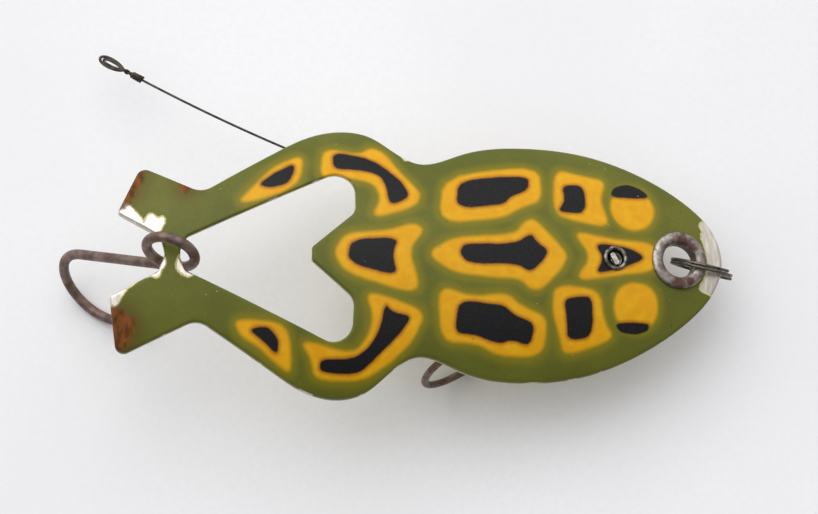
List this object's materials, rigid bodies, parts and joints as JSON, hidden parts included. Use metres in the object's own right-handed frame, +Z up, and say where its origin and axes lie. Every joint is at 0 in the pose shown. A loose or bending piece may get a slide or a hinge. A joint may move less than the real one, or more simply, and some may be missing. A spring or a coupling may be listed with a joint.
{
  "type": "frog fishing spoon",
  "caption": "Stamped sheet-metal frog fishing spoon with a nose eyelet and split ring, a swivelling belly double hook, a trailing hook at the feet and a spring-wire weed guard.",
  "frame": {"origin": "centre of the nose eyelet on the plate's top face", "axes": "+X towards the nose along the ground, +Y towards the frog's left, +Z up, with the lure lying on a table on the bends of its hooks"},
  "size_m": [0.0938, 0.0522, 0.0283],
  "materials": {
    "painted_plate": "olive enamel with airbrushed yellow and black patches, chipped to bare nickel at the edges",
    "nickel": "dull tarnished nickel",
    "rivet_nickel": "dull nickel",
    "ring_steel": "dark oxidised steel",
    "hanger_steel": "bright worn steel",
    "belly_hook_steel": "bronzed steel, dull",
    "solder": "dull tin solder",
    "trailing_hook_steel": "bronzed steel, dull",
    "guard_steel": "dark spring steel"
  },
  "bodies": {
    "plate": {"frog_plate": "painted_plate", "nose_eyelet": "nickel", "snout_rivet": "rivet_nickel"},
    "line_ring": {"line_split_ring": "ring_steel"},
    "hanger": {"hook_hanger": "hanger_steel"},
    "belly_hook": {"double_hook": "belly_hook_steel", "hook_solder": "solder"},
    "guard": {"guard_wire": "guard_steel"},
    "trailer": {"trailing_hook": "trailing_hook_steel"}
  },
  "joints": [
    {"name": "ring_turn", "type": "hinge", "parent": "plate", "child": "line_ring", "pos_m": [0.00354, -0.0003, -0.00376], "axis": [0.2812, 0.9339, 0.2209], "continuous": true},
    {"name": "hanger_swivel", "type": "hinge", "parent": "plate", "child": "hanger", "pos_m": [-0.00894, 0, 0.00231], "axis": [0.2392, 0, 0.971], "range_deg": [-25, 30]},
    {"name": "belly_hook_swing", "type": "hinge", "parent": "hanger", "child": "belly_hook", "pos_m": [-0.01037, 0, -0.00352], "axis": [0.4514, -0.8854, -0.1112], "range_deg": [0, 90]},
    {"name": "guard_turn", "type": "hinge", "parent": "plate", "child": "guard", "pos_m": [-0.00894, 0, 0.00231], "axis": [0.2392, 0, 0.971], "range_deg": [-12, 15]},
    {"name": "trailing_hook_swing", "type": "hinge", "parent": "plate", "child": "trailer", "pos_m": [-0.0682, 0.00017, 0.01203], "axis": [0.2799, 0.8997, -0.3349], "range_deg": [-60, 0]}
  ]
}
